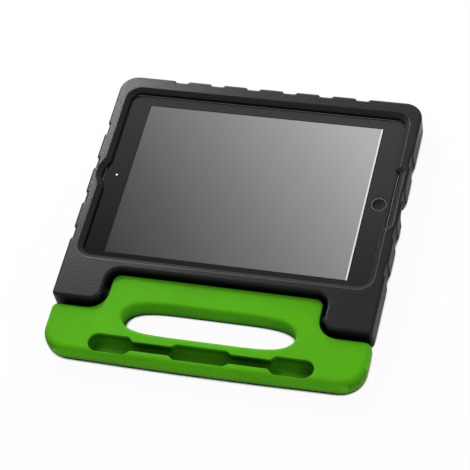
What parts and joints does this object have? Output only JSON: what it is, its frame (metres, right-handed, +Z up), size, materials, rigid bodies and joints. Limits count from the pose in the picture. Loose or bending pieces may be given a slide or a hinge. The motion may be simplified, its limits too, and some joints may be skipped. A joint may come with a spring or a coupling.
{
  "type": "kids tablet case with handle",
  "caption": "Thick foam case for a tablet, with a foam carry handle that turns on pins at one long side and folds back as a stand, and a stylus groove in the handle.",
  "frame": {"origin": "under the middle of the case and handle together, on the surface that the case lies on", "axes": "+Z up out of the screen, +X towards the home button's short side, -Y towards the handle"},
  "size_m": [0.257, 0.2672, 0.0225],
  "materials": {
    "case_foam": "matt closed-cell foam, black, with a fine grain",
    "handle_foam": "matt closed-cell foam, bright green, with a fine grain",
    "hinge_plastic": "hard black plastic, satin",
    "housing_metal": "fine blasted and anodised, dark grey",
    "cover_glass": "polished, black behind the border",
    "display": "display stack, dark grey when off",
    "battery_wrap": "black film",
    "circuit_board": "green lacquer with black chips",
    "camera_plastic": "black",
    "lens_glass": "polished, dark",
    "socket_metal": "bright",
    "inner_plastic": "black",
    "home_button": "smooth, dished, with a thin paler ring",
    "button_metal": "fine blasted and anodised, dark grey"
  },
  "bodies": {
    "case": {"case_shell": "case_foam", "hinge_socket_left": "hinge_plastic", "hinge_socket_right": "hinge_plastic", "tablet_housing": "housing_metal", "cover_glass": "cover_glass", "display_panel": "display", "battery_cell_left": "battery_wrap", "battery_cell_right": "battery_wrap", "logic_board": "circuit_board", "front_camera": "camera_plastic", "rear_camera": "camera_plastic", "rear_lens": "lens_glass", "charge_socket": "socket_metal", "audio_jack": "socket_metal", "speaker_front": "inner_plastic", "speaker_back": "inner_plastic", "home_switch": "inner_plastic"},
    "handle": {"carry_handle": "handle_foam", "hinge_pin_left": "hinge_plastic", "hinge_pin_right": "hinge_plastic"},
    "home_button": {"home_button": "home_button"},
    "power_button": {"power_button": "button_metal"},
    "volume_up_button": {"volume_up_button": "button_metal"},
    "volume_down_button": {"volume_down_button": "button_metal"}
  },
  "joints": [
    {"name": "handle_hinge", "type": "hinge", "parent": "case", "child": "handle", "pos_m": [0, -0.07333, 0.00805], "axis": [1, 0, 0], "range_deg": [0, 120]},
    {"name": "home_press", "type": "slide", "parent": "case", "child": "home_button", "axis": [0, 0, -1], "range_m": [0, 0.0004], "stiffness_N_per_m": 1500},
    {"name": "power_press", "type": "slide", "parent": "case", "child": "power_button", "axis": [1, 0, 0], "range_m": [0, 0.0003], "stiffness_N_per_m": 1500},
    {"name": "volume_up_press", "type": "slide", "parent": "case", "child": "volume_up_button", "axis": [0, -1, 0], "range_m": [0, 0.0003], "stiffness_N_per_m": 1500},
    {"name": "volume_down_press", "type": "slide", "parent": "case", "child": "volume_down_button", "axis": [0, -1, 0], "range_m": [0, 0.0003], "stiffness_N_per_m": 1500}
  ]
}
